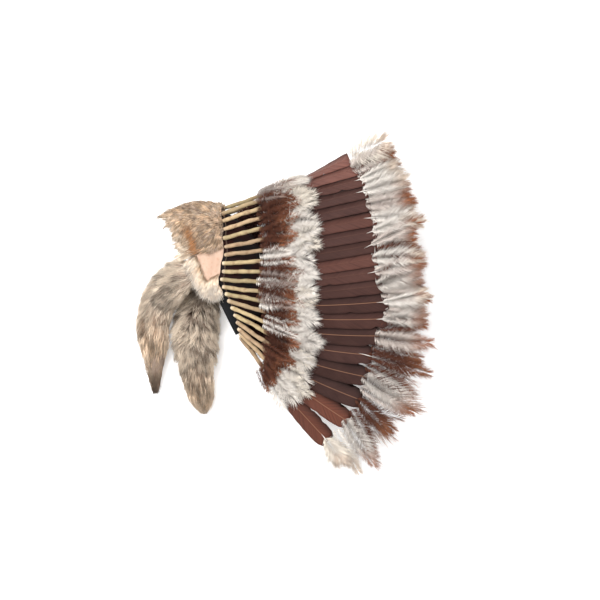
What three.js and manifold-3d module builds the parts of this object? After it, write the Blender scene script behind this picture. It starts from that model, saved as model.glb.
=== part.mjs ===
// A feathered bonnet that lies on its side, as it is laid down when it is not worn. Thirty-six feathers stand
// round a soft felt cap. Each has its quill wrapped in hide, down tied on at the wrap and a plume on its tip.
// A strip of pelt goes round the brow, and a fur tail comes from the hide patch at each temple.
// The frame: +X runs from the head opening to the crown, +Y from the nape to the brow, and +Z is up.
// The origin is under the middle of the whole bonnet, on the surface that it lies on.
import * as THREE from "three";
import { mergeVertices } from "three/addons/utils/BufferGeometryUtils.js";
import Module from "manifold-3d";

const wasm = await Module();
wasm.setup();

// Driving dimensions, in millimetres. The cap is a half ellipsoid, flattened because it lies on its side.
const RIM_HALF_LENGTH = 120; // of the head opening, from brow to nape
const RIM_HALF_HEIGHT = 50; // of the head opening, from temple to temple
const CAP_DEPTH = 100; // from the rim to the crown
const COLLAR = 5; // straight stretch of felt at the rim
const FELT = 3;
const SEAT_GAP = 0.4; // between pieces that touch
const FLOOR_GAP = 0.3;
const WRAP_RADIUS = 4.2;
const WRAP_LENGTH = 72;
const THONG_RADIUS = 1.3;
const THONG_INSET = 5; // from the foot of each wrap
const VANE_WIDTH = 38;
const SHAFT_THICKNESS = 2.6;
const TIP_PLUME_LENGTH = 100;
const TIP_PLUME_THICKNESS = 12;
const BASE_PLUME_LENGTH = 112;
const BASE_PLUME_DEPTH = 16;
const BASE_PLUME_START = 3; // beyond the end of the wraps
const FAN_REACH = 472; // from the fan's centre to the longest vane's end
const FAN_CENTRE_DROP = 72; // from the rim to the fan's centre, outside the head opening
const FAN_CENTRE_FORWARD = 97; // from the cap's middle towards the brow
const NEAR_VANE_HEIGHT = 137; // of the highest vane's end over the floor
const FAR_VANE_HEIGHT = 13; // of the lowest vane's end
const PELT_DEPTH = 14; // of the brow band's fur
const PELT_OVERHANG = 14; // of the fur past the rim
const HIDE_THICKNESS = 2;
const HIDE_OVERHANG = 10;
const TAIL_LENGTH = 235; // from root to tip, in a straight line
const TAIL_WIDTH = 76;
const TAIL_HEIGHT = 60;

// Angles, in degrees.
const LOUVRE = 10; // each vane is turned so that its edge towards the nape lies over the next one
const BAND_END = 72; // round the cap, from the brow to where the hide patch begins
const PATCH_END = 102;
const NEAR_TAIL_ROOT = 87; // round the cap, at the edge of the hide patch
const FAR_TAIL_ROOT = 95;
const BAND_MARGIN = 3; // between the pelt's edge and the feet of the wraps

// Shares.
const VANE_LAP = 1.22; // the widest that a vane is, of the distance to the nearest feather beside it
const FREE_SPREAD = 1.7; // how much wider the first and last plumes are on the side with no feather
const NEAR_LIFT = 1; // of the near side's first and last feather, in feathers along the ring
const FAR_PLUME_INSET = 0.8; // of a feather, from the brow and nape to the far side's base plumes
const WRAP_BEND = 0.3; // of the way along a vane, how far it keeps the direction of its wrap
const TIP_DROOP = 0.1; // of a tip plume's length, how far its end hangs below its vane's line

// One side's feathers from the brow to the nape. seat and rise place the foot of the wrap on the cap, as shares
// of its half length and depth. wrap and fan are degrees from the cap's axis: of the wrap itself, and of the
// vane's end seen from the fan's centre. reach and plume are shares of FAN_REACH and TIP_PLUME_LENGTH.
const FEATHERS = [
  { seat: 0.74, rise: 0.672, wrap: 7, fan: 3.2, reach: 0.805, plume: 0.94 },
  { seat: 0.674, rise: 0.598, wrap: 6, fan: 6.5, reach: 0.815, plume: 0.95 },
  { seat: 0.573, rise: 0.579, wrap: 6.5, fan: 9.7, reach: 0.832, plume: 0.88 },
  { seat: 0.46, rise: 0.54, wrap: 8.5, fan: 12.9, reach: 0.83, plume: 0.96 },
  { seat: 0.347, rise: 0.467, wrap: 11, fan: 16.2, reach: 0.832, plume: 0.97 },
  { seat: 0.225, rise: 0.431, wrap: 14, fan: 19.9, reach: 0.845, plume: 0.95 },
  { seat: 0.122, rise: 0.371, wrap: 18, fan: 23.3, reach: 0.846, plume: 0.9 },
  { seat: 0.028, rise: 0.28, wrap: 22, fan: 26.6, reach: 0.842, plume: 0.97 },
  { seat: -0.075, rise: 0.22, wrap: 26, fan: 29.9, reach: 0.846, plume: 1.0 },
  { seat: -0.165, rise: 0.135, wrap: 29, fan: 33.1, reach: 0.862, plume: 1.0 },
  { seat: -0.272, rise: 0.11, wrap: 32.5, fan: 36.3, reach: 0.88, plume: 1.0 },
  { seat: -0.375, rise: 0.1, wrap: 37, fan: 39.7, reach: 0.915, plume: 0.92 },
  { seat: -0.478, rise: 0.09, wrap: 42, fan: 43.5, reach: 0.93, plume: 0.93 },
  { seat: -0.585, rise: 0.088, wrap: 48, fan: 47.8, reach: 0.925, plume: 1.0 },
  { seat: -0.693, rise: 0.08, wrap: 54, fan: 52.5, reach: 0.93, plume: 1.1 },
  { seat: -0.798, rise: 0.068, wrap: 60, fan: 57.3, reach: 0.955, plume: 1.08 },
  { seat: -0.888, rise: 0.04, wrap: 65, fan: 62.2, reach: 0.985, plume: 1.0 },
  { seat: -0.96, rise: 0.02, wrap: 70, fan: 67.5, reach: 1.0, plume: 0.98 },
  { seat: -1.0, rise: 0, wrap: 78, fan: 73.5, reach: 1.0, plume: 0.82 },
];
const NAPE = FEATHERS.length - 1;

// A vane's outline. at is the share of its length, width of VANE_WIDTH and thick of SHAFT_THICKNESS.
const VANE_SECTIONS = [
  { at: 0, width: 0.14, thick: 1 },
  { at: 0.1, width: 0.3, thick: 0.95 },
  { at: 0.3, width: 0.62, thick: 0.85 },
  { at: 0.55, width: 0.9, thick: 0.7 },
  { at: 0.85, width: 1, thick: 0.55 },
  { at: 1, width: 0.6, thick: 0.5 },
];

// A tip plume's outline. width is a share of the room between the feathers, and thick of TIP_PLUME_THICKNESS.
const PLUME_SECTIONS = [
  { at: 0.08, width: 0.72, thick: 0.7 },
  { at: 0.3, width: 0.9, thick: 1 },
  { at: 0.58, width: 0.92, thick: 0.9 },
  { at: 0.82, width: 0.66, thick: 0.6 },
  { at: 1, width: 0.16, thick: 0.2 },
];

// The fur tails, each from its root at the hide patch to its tip. out and back are shares of TAIL_LENGTH, away
// from the cap and towards the nape. up is a share of the height of the near tail's root over the floor. wide
// and high are shares of TAIL_WIDTH and TAIL_HEIGHT.
const NEAR_TAIL = [
  { out: 0, back: 0, up: 1, wide: 0.26, high: 0.14 },
  { out: 0.09, back: -0.02, up: 0.91, wide: 0.56, high: 0.5 },
  { out: 0.2, back: -0.01, up: 0.75, wide: 0.84, high: 0.84 },
  { out: 0.33, back: 0.03, up: 0.5, wide: 0.94, high: 1 },
  { out: 0.46, back: 0.14, up: 0.32, wide: 0.96, high: 0.98 },
  { out: 0.55, back: 0.29, up: 0.26, wide: 0.94, high: 0.86 },
  { out: 0.64, back: 0.48, up: 0.2, wide: 0.7, high: 0.66 },
  { out: 0.72, back: 0.66, up: 0.08, wide: 0.12, high: 0.14 },
];
const FAR_TAIL = [
  { out: 0, back: 0, up: 0.075, wide: 0.26, high: 0.14 },
  { out: 0.1, back: 0.1, up: 0.13, wide: 0.56, high: 0.42 },
  { out: 0.21, back: 0.25, up: 0.2, wide: 0.8, high: 0.68 },
  { out: 0.28, back: 0.38, up: 0.24, wide: 0.88, high: 0.84 },
  { out: 0.35, back: 0.54, up: 0.24, wide: 0.9, high: 0.82 },
  { out: 0.4, back: 0.7, up: 0.21, wide: 0.78, high: 0.7 },
  { out: 0.43, back: 0.81, up: 0.15, wide: 0.52, high: 0.5 },
  { out: 0.45, back: 0.87, up: 0.08, wide: 0.12, high: 0.14 },
];

// Facets.
const CAP_SEGMENTS = 32;
const CAP_RINGS = 5;
const WRAP_SIDES = 6;
const THONG_SIDES = 4;
const TAIL_SIDES = 14;
const TAIL_LOCKS = 7;

// The cap's middle stands over the floor by its own half height and the wraps of the feathers under it.
const CAP_HEIGHT = RIM_HALF_HEIGHT + SEAT_GAP + 2 * WRAP_RADIUS + FLOOR_GAP;

const NEAR = 1;
const FAR = -1;
const radians = THREE.MathUtils.degToRad;
const mix = THREE.MathUtils.lerp;

// The point of the cap's ellipsoid at an angle round it from the brow and an angle of rise from its rim,
// moved out by a distance. Points past the rim carry on straight.
function onCap(round, rise, out = 0) {
  const a = radians(round);
  const b = radians(rise);
  const point = new THREE.Vector3(
    CAP_DEPTH * Math.sin(b),
    RIM_HALF_LENGTH * Math.cos(b) * Math.cos(a),
    RIM_HALF_HEIGHT * Math.cos(b) * Math.sin(a),
  );
  const normal = new THREE.Vector3(
    point.x / CAP_DEPTH ** 2,
    point.y / RIM_HALF_LENGTH ** 2,
    point.z / RIM_HALF_HEIGHT ** 2,
  ).normalize();
  return point.addScaledVector(normal, out).add(new THREE.Vector3(0, 0, CAP_HEIGHT));
}

// A row of the feather table, at a whole number or between two.
function featherRow(k) {
  const low = Math.min(Math.floor(k), NAPE - 1);
  const row = {};
  for (const name of Object.keys(FEATHERS[0]))
    row[name] = mix(FEATHERS[low][name], FEATHERS[low + 1][name], k - low);
  row.rise = THREE.MathUtils.radToDeg(Math.asin(row.rise));
  const across = row.seat / Math.cos(radians(row.rise));
  row.round = THREE.MathUtils.radToDeg(Math.acos(THREE.MathUtils.clamp(across, -1, 1)));
  return row;
}

// The rise at which the feet of the wraps stand, at an angle round the cap from the brow.
function wrapRise(round) {
  const angle = Math.abs(round);
  for (let k = 0; k < NAPE; k++) {
    const a = featherRow(k);
    const b = featherRow(k + 1);
    if (angle <= b.round)
      return mix(a.rise, b.rise, (angle - a.round) / (b.round - a.round));
  }
  return 0;
}

// A direction in plan, at an angle from the cap's axis towards the nape.
function planDirection(degrees) {
  return new THREE.Vector3(Math.cos(radians(degrees)), -Math.sin(radians(degrees)), 0);
}

// Where a side's feather k stands: its wrap and its vane's curve. k may lie between two feathers.
function featherLine(side, k) {
  const row = featherRow(k);
  const foot = onCap(side * row.round, row.rise, WRAP_RADIUS + SEAT_GAP);
  const end = new THREE.Vector3(-FAN_CENTRE_DROP, FAN_CENTRE_FORWARD, 0);
  end.addScaledVector(planDirection(row.fan), FAN_REACH * row.reach);
  const lift = side === NEAR ? NEAR_LIFT : 0;
  const share = Math.sin((Math.PI * (k + lift)) / (NAPE + 2 * lift));
  end.z = mix(FAR_VANE_HEIGHT, NEAR_VANE_HEIGHT, (1 + side * share) / 2);
  const along = planDirection(row.wrap);
  along.z = (end.z - foot.z) / Math.hypot(end.x - foot.x, end.y - foot.y);
  along.normalize();
  const start = foot.clone().addScaledVector(along, WRAP_LENGTH + SEAT_GAP);
  const bend = start.clone().addScaledVector(along, WRAP_BEND * start.distanceTo(end));
  const vane = new THREE.QuadraticBezierCurve3(start, bend, end);
  return { foot, along, vane, end, row };
}

// The frame across a side's feathers at a share of a vane: across runs along the ring towards the nape, and
// face looks out. turn leans the face towards the brow.
function ringFrame(side, k, t, turn = 0) {
  const tangent = featherLine(side, k).vane.getTangent(t);
  const across = featherLine(side, Math.min(k + 0.5, NAPE)).vane.getPoint(t);
  across.sub(featherLine(side, Math.max(k - 0.5, 0)).vane.getPoint(t));
  const face = new THREE.Vector3().crossVectors(across, tangent).multiplyScalar(side).normalize();
  face.applyAxisAngle(tangent, -side * radians(turn));
  return { tangent, face, across: new THREE.Vector3().crossVectors(tangent, face) };
}

// A closed geometry from vertices and faces, turned so that its faces look out.
function closedGeometry(points, faces) {
  const corner = (i) => points[i];
  let volume = 0;
  for (const [a, b, c] of faces)
    volume += corner(a).dot(new THREE.Vector3().crossVectors(corner(b), corner(c)));
  const index = volume < 0 ? faces.flatMap(([a, b, c]) => [a, c, b]) : faces.flat();
  const geometry = new THREE.BufferGeometry();
  geometry.setAttribute(
    "position",
    new THREE.Float32BufferAttribute(points.flatMap((p) => p.toArray()), 3),
  );
  geometry.setIndex(index);
  return geometry;
}

// A skin through rings of as many points each, closed by a fan to a point at each end.
function loft(rings, first, last) {
  const sides = rings[0].length;
  const points = [...rings.flat(), first, last];
  const faces = [];
  for (let i = 0; i < rings.length - 1; i++)
    for (let j = 0; j < sides; j++) {
      const a = i * sides + j;
      const b = i * sides + ((j + 1) % sides);
      faces.push([a, b, b + sides], [a, b + sides, a + sides]);
    }
  const start = points.length - 2;
  const end = points.length - 1;
  const back = (rings.length - 1) * sides;
  for (let j = 0; j < sides; j++) {
    const next = (j + 1) % sides;
    faces.push([start, next, j], [end, back + j, back + next]);
  }
  return closedGeometry(points, faces);
}

function middleOf(ring) {
  const sum = new THREE.Vector3();
  for (const point of ring) sum.add(point);
  return sum.divideScalar(ring.length);
}

function loftClosed(rings) {
  return loft(rings, middleOf(rings[0]), middleOf(rings[rings.length - 1]));
}

// A slab between two grids of points, an outer and an inner one, closed round its edges.
function slab(outer, inner) {
  const rows = outer.length;
  const columns = outer[0].length;
  const points = [...outer.flat(), ...inner.flat()];
  const out = (i, j) => i * columns + j;
  const within = (i, j) => rows * columns + out(i, j);
  const faces = [];
  const quad = (a, b, c, d) => faces.push([a, b, c], [a, c, d]);
  for (let i = 0; i < rows - 1; i++)
    for (let j = 0; j < columns - 1; j++) {
      quad(out(i, j), out(i + 1, j), out(i + 1, j + 1), out(i, j + 1));
      quad(within(i, j), within(i, j + 1), within(i + 1, j + 1), within(i + 1, j));
    }
  for (let i = 0; i < rows - 1; i++) {
    const last = columns - 1;
    quad(out(i, 0), within(i, 0), within(i + 1, 0), out(i + 1, 0));
    quad(out(i, last), out(i + 1, last), within(i + 1, last), within(i, last));
  }
  for (let j = 0; j < columns - 1; j++) {
    const last = rows - 1;
    quad(out(0, j), out(0, j + 1), within(0, j + 1), within(0, j));
    quad(out(last, j), within(last, j), within(last, j + 1), out(last, j + 1));
  }
  return closedGeometry(points, faces);
}

// Soft things are pressed flat by the surface that they lie on.
function pressed(point) {
  point.z = Math.max(point.z, 0);
  return point;
}

function mesh(name, geometry, material) {
  const made = new THREE.Mesh(geometry, material);
  made.name = name;
  return made;
}

function solidOf(geometry) {
  const merged = mergeVertices(geometry.deleteAttribute("normal").deleteAttribute("uv"), 1e-4);
  return new wasm.Manifold(
    new wasm.Mesh({
      numProp: 3,
      vertProperties: new Float32Array(merged.getAttribute("position").array),
      triVerts: new Uint32Array(merged.getIndex().array),
    }),
  );
}

function geometryOf(solid) {
  const made = solid.getMesh();
  const geometry = new THREE.BufferGeometry();
  geometry.setAttribute("position", new THREE.BufferAttribute(made.vertProperties, 3));
  geometry.setIndex(new THREE.BufferAttribute(made.triVerts, 1));
  return geometry;
}

const felt = new THREE.MeshStandardMaterial({ color: 0x17161a, roughness: 0.95, metalness: 0 });
const pelt = new THREE.MeshStandardMaterial({ color: 0xb79a74, roughness: 0.9, metalness: 0 });
const hide = new THREE.MeshStandardMaterial({ color: 0xe2bfa6, roughness: 0.8, metalness: 0 });
const tailFur = new THREE.MeshStandardMaterial({ color: 0x9c8a72, roughness: 0.9, metalness: 0 });
const wrapHide = new THREE.MeshStandardMaterial({ color: 0xc9a87c, roughness: 0.75, metalness: 0 });
const vaneBrown = new THREE.MeshStandardMaterial({ color: 0x4a2e29, roughness: 0.6, metalness: 0 });
const down = new THREE.MeshStandardMaterial({ color: 0xd9cdbf, roughness: 0.95, metalness: 0 });

// The soft skull cap: an outer and an inner half ellipsoid, joined round the rim.
function skullCap() {
  const ring = (rise, thickness, drop) =>
    Array.from({ length: CAP_SEGMENTS }, (_, i) => {
      const a = (2 * Math.PI * i) / CAP_SEGMENTS;
      const b = radians(rise);
      return new THREE.Vector3(
        (CAP_DEPTH - thickness) * Math.sin(b) - drop,
        (RIM_HALF_LENGTH - thickness) * Math.cos(b) * Math.cos(a),
        CAP_HEIGHT + (RIM_HALF_HEIGHT - thickness) * Math.cos(b) * Math.sin(a),
      );
    });
  const rises = Array.from({ length: CAP_RINGS }, (_, i) => (90 * i) / CAP_RINGS);
  const rings = [
    ...rises.map((rise) => ring(rise, 0, 0)).reverse(),
    ring(0, 0, COLLAR),
    ring(0, FELT, COLLAR),
    ...rises.map((rise) => ring(rise, FELT, 0)),
  ];
  const crown = (thickness) => new THREE.Vector3(CAP_DEPTH - thickness, 0, CAP_HEIGHT);
  return mesh("skull_cap", loft(rings, crown(0), crown(FELT)), felt);
}

// The cap without its hollow, grown by the gap that pieces keep, to cut what lies on it.
function capSeat() {
  const profile = [new THREE.Vector2(0, -COLLAR - SEAT_GAP)];
  const radius = RIM_HALF_LENGTH + SEAT_GAP;
  profile.push(new THREE.Vector2(radius, -COLLAR - SEAT_GAP));
  for (let i = 0; i < CAP_RINGS; i++) {
    const b = radians((90 * i) / CAP_RINGS);
    profile.push(new THREE.Vector2(radius * Math.cos(b), (CAP_DEPTH + SEAT_GAP) * Math.sin(b)));
  }
  profile.push(new THREE.Vector2(0, CAP_DEPTH + SEAT_GAP));
  const seat = new THREE.LatheGeometry(profile, CAP_SEGMENTS);
  seat.rotateX(Math.PI / 2).rotateY(Math.PI / 2);
  seat.scale(1, 1, (RIM_HALF_HEIGHT + SEAT_GAP) / radius);
  return solidOf(seat.translate(0, 0, CAP_HEIGHT));
}

// A piece that lies on the cap from one angle round it to another, from past the rim up to the wraps' feet.
// depth gives its thickness at a share of its length and a share of its height.
function capStrip(name, from, to, steps, overhang, depth, material) {
  const heights = [0, 0.3, 0.65, 1];
  const outer = [];
  const inner = [];
  for (let i = 0; i <= steps; i++) {
    const along = i / steps;
    const round = mix(from, to, along);
    const top = wrapRise(round) - BAND_MARGIN;
    const column = (thick) =>
      heights.map((height) => {
        const distance = thick ? SEAT_GAP + depth(along, height) : -FELT / 2;
        const point = onCap(round, height * Math.max(top, 1), distance);
        point.x -= overhang * (1 - height) ** 2;
        return pressed(point);
      });
    outer.push(column(true));
    inner.push(column(false));
  }
  return mesh(name, geometryOf(solidOf(slab(outer, inner)).subtract(capSeat())), material);
}

// The strip of pelt round the brow, in locks, deepest in the middle of its width.
function browBand() {
  const locks = 9;
  const depth = (along, height) => {
    const lock = 0.85 + 0.15 * Math.cos(2 * Math.PI * locks * along);
    return PELT_DEPTH * lock * (0.55 + 0.45 * Math.sin(Math.PI * mix(0.15, 0.95, height)));
  };
  return capStrip("brow_band", -BAND_END, BAND_END, 4 * locks, PELT_OVERHANG, depth, pelt);
}

// The bare hide at a temple, which tapers to where the tail hangs.
function templePatch(name, side) {
  const gap = THREE.MathUtils.radToDeg(SEAT_GAP / RIM_HALF_HEIGHT);
  const from = side * (BAND_END + gap);
  const to = side * PATCH_END;
  return capStrip(name, from, to, 6, HIDE_OVERHANG, () => HIDE_THICKNESS, hide);
}

// The place on a hide patch's free edge, outside the head opening, where its tail begins.
function tailRoot(round) {
  const root = onCap(round, 0, SEAT_GAP + HIDE_THICKNESS / 2);
  root.x -= HIDE_OVERHANG + SEAT_GAP;
  return root;
}

// A fur tail: an oval body in locks along its curve, pressed flat by the floor where it lies on it.
function furTail(name, round, table) {
  const root = tailRoot(round);
  const height = tailRoot(NEAR_TAIL_ROOT).z;
  const places = table.map((row) => {
    const x = root.x - TAIL_LENGTH * row.out;
    const y = root.y - TAIL_LENGTH * row.back;
    return new THREE.Vector3(x, y, row.out === 0 ? root.z : height * row.up);
  });
  const curve = new THREE.CatmullRomCurve3(places, false, "centripetal");
  const steps = 2 * (table.length - 1);
  const rings = [];
  for (let i = 0; i <= steps; i++) {
    const t = i / steps;
    const at = t * (table.length - 1);
    const low = Math.min(Math.floor(at), table.length - 2);
    const wide = (TAIL_WIDTH / 2) * mix(table[low].wide, table[low + 1].wide, at - low);
    const high = (TAIL_HEIGHT / 2) * mix(table[low].high, table[low + 1].high, at - low);
    const centre = curve.getPoint(t);
    const tangent = i === 0 ? new THREE.Vector3(-1, 0, 0) : curve.getTangent(t);
    const across = new THREE.Vector3(-tangent.y, tangent.x, 0).normalize();
    const face = new THREE.Vector3().crossVectors(tangent, across);
    rings.push(
      Array.from({ length: TAIL_SIDES }, (_, j) => {
        const a = (2 * Math.PI * j) / TAIL_SIDES;
        const lock = 0.94 + 0.06 * Math.cos(TAIL_LOCKS * a + Math.PI * i);
        const point = centre.clone().addScaledVector(across, wide * lock * Math.cos(a));
        return pressed(point.addScaledVector(face, high * lock * Math.sin(a)));
      }),
    );
  }
  return mesh(name, loftClosed(rings), tailFur);
}

// The hide wraps of one side's quills, joined by the thong that laces them together at their feet.
function quillWraps(name, side, first, last) {
  const profile = [
    new THREE.Vector2(0, 0),
    new THREE.Vector2(WRAP_RADIUS, 0),
    new THREE.Vector2(WRAP_RADIUS, WRAP_LENGTH),
    new THREE.Vector2(0, WRAP_LENGTH),
  ];
  const laced = [];
  let joined = null;
  for (let k = first; k <= last; k++) {
    const line = featherLine(side, k);
    const turned = new THREE.Quaternion().setFromUnitVectors(new THREE.Vector3(0, 1, 0), line.along);
    const wrap = new THREE.LatheGeometry(profile, WRAP_SIDES);
    wrap.applyQuaternion(turned).translate(...line.foot.toArray());
    const solid = solidOf(wrap);
    joined = joined ? joined.add(solid) : solid;
    laced.push(line.foot.clone().addScaledVector(line.along, THONG_INSET));
  }
  const rings = laced.map((middle, i) => {
    const tangent = laced[Math.min(i + 1, laced.length - 1)].clone();
    tangent.sub(laced[Math.max(i - 1, 0)]).normalize();
    const across = new THREE.Vector3().crossVectors(tangent, new THREE.Vector3(1, 0, 0)).normalize();
    const over = new THREE.Vector3().crossVectors(tangent, across);
    return Array.from({ length: THONG_SIDES }, (_, j) => {
      const a = (2 * Math.PI * j) / THONG_SIDES;
      const point = middle.clone().addScaledVector(across, THONG_RADIUS * Math.cos(a));
      return point.addScaledVector(over, THONG_RADIUS * Math.sin(a));
    });
  });
  return mesh(name, geometryOf(joined.add(solidOf(loftClosed(rings)))), wrapHide);
}

// The distance from a feather to the nearer of the two beside it, at a share of its vane.
function pitch(side, k, t) {
  const here = featherLine(side, k).vane.getPoint(t);
  const beside = [k - 1, k + 1].filter((n) => n >= 0 && n <= NAPE);
  return Math.min(...beside.map((n) => featherLine(side, n).vane.getPoint(t).distanceTo(here)));
}

// One feather from its wrap to the tip of its plume: a shaft and vane, thickest along the shaft, that ends
// in a rounded plume.
function feather(name, side, k) {
  const line = featherLine(side, k);
  const sections = VANE_SECTIONS.map((row) => ({
    middle: line.vane.getPoint(row.at),
    frame: ringFrame(side, k, row.at, LOUVRE),
    wide: Math.min(VANE_WIDTH * row.width, VANE_LAP * pitch(side, k, row.at)) / 2,
    thick: (SHAFT_THICKNESS / 2) * row.thick,
    spread: () => 1,
  }));
  const tip = ringFrame(side, k, 1, LOUVRE / 2);
  const free = (x) => (k === 0 && x < 0) || (k === NAPE && x > 0);
  const length = TIP_PLUME_LENGTH * line.row.plume;
  for (const row of PLUME_SECTIONS) {
    const middle = line.end.clone().addScaledVector(tip.tangent, length * row.at);
    middle.z -= TIP_DROOP * length * row.at ** 2;
    sections.push({
      middle,
      frame: tip,
      wide: (pitch(side, k, 1) / 2) * row.width,
      thick: (TIP_PLUME_THICKNESS / 2) * row.thick,
      spread: (x) => (free(x) ? FREE_SPREAD : 1),
    });
  }
  const rings = sections.map(({ middle, frame, wide, thick, spread }) => {
    const corner = (x, y) => {
      const point = middle.clone().addScaledVector(frame.across, wide * spread(x) * x);
      return pressed(point.addScaledVector(frame.face, thick * y));
    };
    return [corner(1, 0), corner(0.4, 1), corner(-0.4, 1), corner(-1, 0), corner(-0.4, -1), corner(0.4, -1)];
  });
  return mesh(name, loftClosed(rings), vaneBrown);
}

// The base plumes of one side: a ring of soft tufts over the feet of the vanes, with a tuft to each feather.
function basePlumes(name, side, first, last) {
  const shares = [0, 0.12, 0.4, 0.7, 0.9, 1];
  const tuftSteps = 2;
  const steps = tuftSteps * Math.round(last - first);
  const outer = [];
  const inner = [];
  for (let i = 0; i <= steps; i++) {
    const k = mix(first, last, i / steps);
    const line = featherLine(side, k);
    const tuft = Math.cos((2 * Math.PI * i) / tuftSteps);
    const length = BASE_PLUME_LENGTH * (0.94 + 0.06 * tuft);
    const vaneLength = line.vane.getLength();
    const column = (thick) =>
      shares.map((share) => {
        const t = (BASE_PLUME_START + length * share) / vaneLength;
        const lap = (VANE_WIDTH / 2) * Math.min(0.3 + 1.2 * t, 1) * Math.sin(radians(LOUVRE));
        const clear = lap + SHAFT_THICKNESS / 2 + SEAT_GAP;
        const puff = Math.sin(Math.PI * mix(0.14, 0.96, share)) ** 0.7 * (0.85 + 0.15 * tuft);
        const out = clear + (thick ? BASE_PLUME_DEPTH * puff : 0);
        return pressed(line.vane.getPoint(t).addScaledVector(ringFrame(side, k, t).face, out));
      });
    outer.push(column(true));
    inner.push(column(false));
  }
  return mesh(name, slab(outer, inner), down);
}

const bonnet = new THREE.Group();
bonnet.name = "bonnet";
bonnet.add(
  skullCap(),
  browBand(),
  templePatch("temple_patch_near", NEAR),
  templePatch("temple_patch_far", FAR),
  furTail("fur_tail_near", NEAR * NEAR_TAIL_ROOT, NEAR_TAIL),
  furTail("fur_tail_far", FAR * FAR_TAIL_ROOT, FAR_TAIL),
  quillWraps("quill_wraps_near", NEAR, 0, NAPE),
  quillWraps("quill_wraps_far", FAR, 1, NAPE - 1),
  basePlumes("base_plumes_near", NEAR, 0, NAPE),
  basePlumes("base_plumes_far", FAR, FAR_PLUME_INSET, NAPE - FAR_PLUME_INSET),
);
for (let k = 0; k <= NAPE; k++) {
  const number = String(k).padStart(2, "0");
  bonnet.add(feather(`feather_near_${number}`, NEAR, k));
  if (k > 0 && k < NAPE) bonnet.add(feather(`feather_far_${number}`, FAR, k));
}

// The origin: on the floor, under the middle of the bonnet.
const extent = new THREE.Box3().setFromObject(bonnet);
const middle = extent.getCenter(new THREE.Vector3());
bonnet.position.set(-middle.x, -middle.y, -extent.min.z);

const part = new THREE.Group();
part.add(bonnet);

export default part;
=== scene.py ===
# A feathered bonnet that lies on its side on a pale surface, seen from straight above. Lengths are in
# metres, and angles in the tables and among the values in capitals are in degrees.
import math

import bpy
import numpy as np
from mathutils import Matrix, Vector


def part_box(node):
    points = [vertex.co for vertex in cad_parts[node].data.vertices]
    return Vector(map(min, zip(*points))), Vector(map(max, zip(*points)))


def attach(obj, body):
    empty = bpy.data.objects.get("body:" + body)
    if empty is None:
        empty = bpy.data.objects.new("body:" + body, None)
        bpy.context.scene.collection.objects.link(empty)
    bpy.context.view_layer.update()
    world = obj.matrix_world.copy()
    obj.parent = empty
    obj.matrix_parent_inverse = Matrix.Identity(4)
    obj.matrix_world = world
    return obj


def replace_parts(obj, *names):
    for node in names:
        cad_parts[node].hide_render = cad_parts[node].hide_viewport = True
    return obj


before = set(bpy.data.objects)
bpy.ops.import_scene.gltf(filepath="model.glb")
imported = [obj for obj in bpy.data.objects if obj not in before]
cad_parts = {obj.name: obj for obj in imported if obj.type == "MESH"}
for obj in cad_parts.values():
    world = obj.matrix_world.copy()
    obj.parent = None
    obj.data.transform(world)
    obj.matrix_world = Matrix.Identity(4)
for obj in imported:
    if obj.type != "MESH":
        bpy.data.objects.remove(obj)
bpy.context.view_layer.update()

# The skull cap is soft black felt, blocked in one piece and open where the head goes in.
# It lies on its side, so its round opening has sunk to an oval. Its wall is thin, and it
# is a half ellipsoid: depth along +X, length along Y, height along Z.
COLLAR = 0.005  # straight stretch of felt at the rim
FELT = 0.003
SEAT_GAP = 0.0004
FLOOR = 0.0012  # no soft thing goes lower than this
FELT_BLACK = (0.0105, 0.0108, 0.012)
FELT_MAROON = (0.028, 0.0075, 0.0065)
random = np.random.default_rng(11)

cap_low, cap_high = (np.array(corner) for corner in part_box("skull_cap"))
RIM = np.array([cap_low[0] + COLLAR, *(cap_low[1:] + cap_high[1:]) / 2])
CAP_HALF = np.array([cap_high[0] - RIM[0], *(cap_high[1:] - cap_low[1:]) / 2])


def unit(vectors):
    """Each vector divided by its length."""
    return vectors / np.linalg.norm(vectors, axis=-1, keepdims=True)


def mix(a, b, share):
    """a where share is 0, b where it is 1, and in a straight line between them."""
    return a + (b - a) * share


def smooth_step(low, high, value):
    """The cubic 3t^2 - 2t^3 of how far value has come from low to high."""
    t = np.clip((value - low) / (high - low), 0, 1)
    return t * t * (3 - 2 * t)


def on_cap(round_by, rise, out=0.0):
    """Points of the cap's ellipsoid (a sin r, b cos r cos q, c cos r sin q), moved out along its normal.

    q, round_by, is the angle round the cap from the brow and r, rise, the angle up from its rim.
    """
    q, r, out = np.broadcast_arrays(np.radians(round_by), np.radians(rise), out)
    around = np.stack([np.sin(r), np.cos(r) * np.cos(q), np.cos(r) * np.sin(q)], -1)
    normal = unit(around / CAP_HALF)
    return RIM + around * CAP_HALF + normal * out[..., None], normal


def floored(points):
    """What would go under the floor lies on it."""
    points[..., 2] = np.maximum(points[..., 2], FLOOR)
    return points


def grid_faces(rows, columns, closed=False):
    """Quads of a grid of points. A closed grid joins its last column to its first."""
    i, j = np.meshgrid(np.arange(rows - 1), np.arange(columns - (not closed)), indexing="ij")
    right = (j + 1) % columns
    corners = [i * columns + j, i * columns + right, (i + 1) * columns + right, (i + 1) * columns + j]
    return np.stack(corners, -1).reshape(-1, 4)


def sheet_faces(rows, columns):
    """Quads of two grids, an outer and an inner one, and of the wall round their edges."""
    outer = grid_faces(rows, columns)
    inner = outer[:, ::-1] + rows * columns
    i, j = np.arange(rows), np.arange(columns)
    right, bottom = i[:-1] * columns + columns - 1, j[:0:-1] + (rows - 1) * columns
    edge = np.concatenate([j[:-1], right, bottom, i[:0:-1] * columns])
    ahead = np.roll(edge, -1)
    wall = np.stack([ahead, edge, edge + rows * columns, ahead + rows * columns], -1)
    return np.concatenate([outer, inner, wall])


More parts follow.
